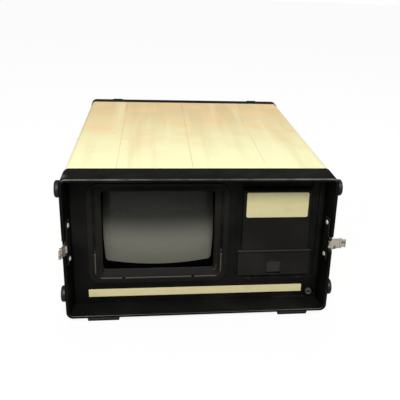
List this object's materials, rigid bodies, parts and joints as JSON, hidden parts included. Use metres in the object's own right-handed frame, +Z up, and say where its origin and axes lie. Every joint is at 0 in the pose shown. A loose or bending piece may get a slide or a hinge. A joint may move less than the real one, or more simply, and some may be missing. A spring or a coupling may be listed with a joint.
{
  "type": "luggable computer",
  "caption": "Portable computer in a flat black-ended case with cream covers, a picture tube, a disk bay behind a flap, draw latches, rubber bumpers and a folding side handle.",
  "frame": {"origin": "on the floor under the middle of the object's box, as it stands on its feet with the latches as pictured", "axes": "+X to the right of someone facing the screen, +Y from the front rim to the rear rim, +Z up"},
  "size_m": [0.4682, 0.5938, 0.251],
  "materials": {
    "moulded_black": "fine-grained moulded black plastic",
    "panel_black": "smooth satin black plastic",
    "cover_paint": "cream paint with a fine texture, yellowed",
    "khaki_trim": "satin khaki-gold anodised sheet",
    "bumper_rubber": "matt black rubber",
    "latch_nickel": "worn nickel plate",
    "zinc_steel": "zinc-plated steel",
    "dark_steel": "dark grey painted sheet steel",
    "tube_glass": "grey picture tube glass",
    "yoke_copper": "wound coil in lacquer",
    "board_green": "green circuit board",
    "knob_grey": "mid-grey plastic",
    "drive_black": "black plastic front on a steel body",
    "port_steel": "tin-plated steel"
  },
  "bodies": {
    "root": {"front_frame": "moulded_black", "rear_frame": "moulded_black", "top_cover": "cover_paint", "bottom_cover": "cover_paint", "chassis_tray": "zinc_steel", "tray_screws": "zinc_steel", "front_panel": "panel_black", "screen_bezel": "panel_black", "picture_tube": "tube_glass", "tube_band": "zinc_steel", "tube_screws": "zinc_steel", "deflection_yoke": "yoke_copper", "neck_board": "board_green", "bay_panel": "panel_black", "name_plate": "khaki_trim", "flap_pin": "zinc_steel", "disk_drive": "drive_black", "drive_cradle": "zinc_steel", "trim_strip": "khaki_trim", "brightness_control": "zinc_steel", "latch_base_left": "dark_steel", "latch_base_right": "dark_steel", "lever_pin_left": "latch_nickel", "lever_pin_right": "latch_nickel", "latch_rivets": "latch_nickel", "left_bumpers": "bumper_rubber", "right_bumpers": "bumper_rubber", "bumper_screws": "zinc_steel", "front_feet": "bumper_rubber", "back_feet": "bumper_rubber", "rear_posts": "bumper_rubber", "handle_brackets": "moulded_black", "handle_pins": "zinc_steel", "rear_panel": "dark_steel", "panel_screws": "zinc_steel", "fan_frame": "moulded_black", "fan_guard": "zinc_steel", "mains_inlet": "moulded_black", "power_switch": "moulded_black", "serial_port": "port_steel", "printer_port": "port_steel", "power_supply": "zinc_steel", "main_board": "board_green", "processor_card": "board_green"},
    "flap": {"drive_flap": "panel_black"},
    "eject": {"eject_button": "drive_black"},
    "knob": {"brightness_knob": "knob_grey"},
    "left_lever": {"latch_lever_left": "latch_nickel", "claw_pin_left": "latch_nickel"},
    "left_claw": {"latch_claw_left": "latch_nickel"},
    "right_lever": {"latch_lever_right": "latch_nickel", "claw_pin_right": "latch_nickel"},
    "right_claw": {"latch_claw_right": "latch_nickel"},
    "handle": {"handle": "moulded_black"},
    "fan": {"fan_rotor": "moulded_black"},
    "rocker": {"power_rocker": "moulded_black"}
  },
  "joints": [
    {"name": "flap_hinge", "type": "hinge", "parent": "root", "child": "flap", "pos_m": [0.1227, -0.23008, 0.104], "axis": [-1, 0, 0], "range_deg": [0, 100]},
    {"name": "eject_press", "type": "slide", "parent": "root", "child": "eject", "axis": [0, 1, 0], "range_m": [0, 0.0032], "stiffness_N_per_m": 300, "springref_m": -0.001},
    {"name": "knob_turn", "type": "hinge", "parent": "root", "child": "knob", "pos_m": [0.18945, -0.22858, 0.0224], "axis": [0, 1, 0], "range_deg": [-140, 140]},
    {"name": "right_lever_hinge", "type": "hinge", "parent": "root", "child": "right_lever", "pos_m": [0.20695, -0.27008, 0.1345], "axis": [0, 0, 1], "range_deg": [-90, 25]},
    {"name": "right_claw_hinge", "type": "hinge", "parent": "right_lever", "child": "right_claw", "pos_m": [0.22545, -0.27008, 0.136], "axis": [0, 0, 1], "range_deg": [-60, 100]},
    {"name": "left_lever_hinge", "type": "hinge", "parent": "root", "child": "left_lever", "pos_m": [-0.22105, -0.27008, 0.1345], "axis": [0, 0, -1], "range_deg": [-15, 100]},
    {"name": "left_claw_hinge", "type": "hinge", "parent": "left_lever", "child": "left_claw", "pos_m": [-0.22584, -0.28795, 0.136], "axis": [0, 0, -1], "range_deg": [-60, 100]},
    {"name": "handle_swing", "type": "hinge", "parent": "root", "child": "handle", "pos_m": [0.21895, 0.00893, 0.144], "axis": [0, -1, 0], "range_deg": [0, 95]},
    {"name": "fan_spin", "type": "hinge", "parent": "root", "child": "fan", "pos_m": [-0.12705, 0.26272, 0.1485], "axis": [0, 1, 0], "continuous": true},
    {"name": "power_rock", "type": "hinge", "parent": "root", "child": "rocker", "pos_m": [0.14295, 0.27292, 0.106], "axis": [-1, 0, 0], "range_deg": [0, 20]}
  ]
}
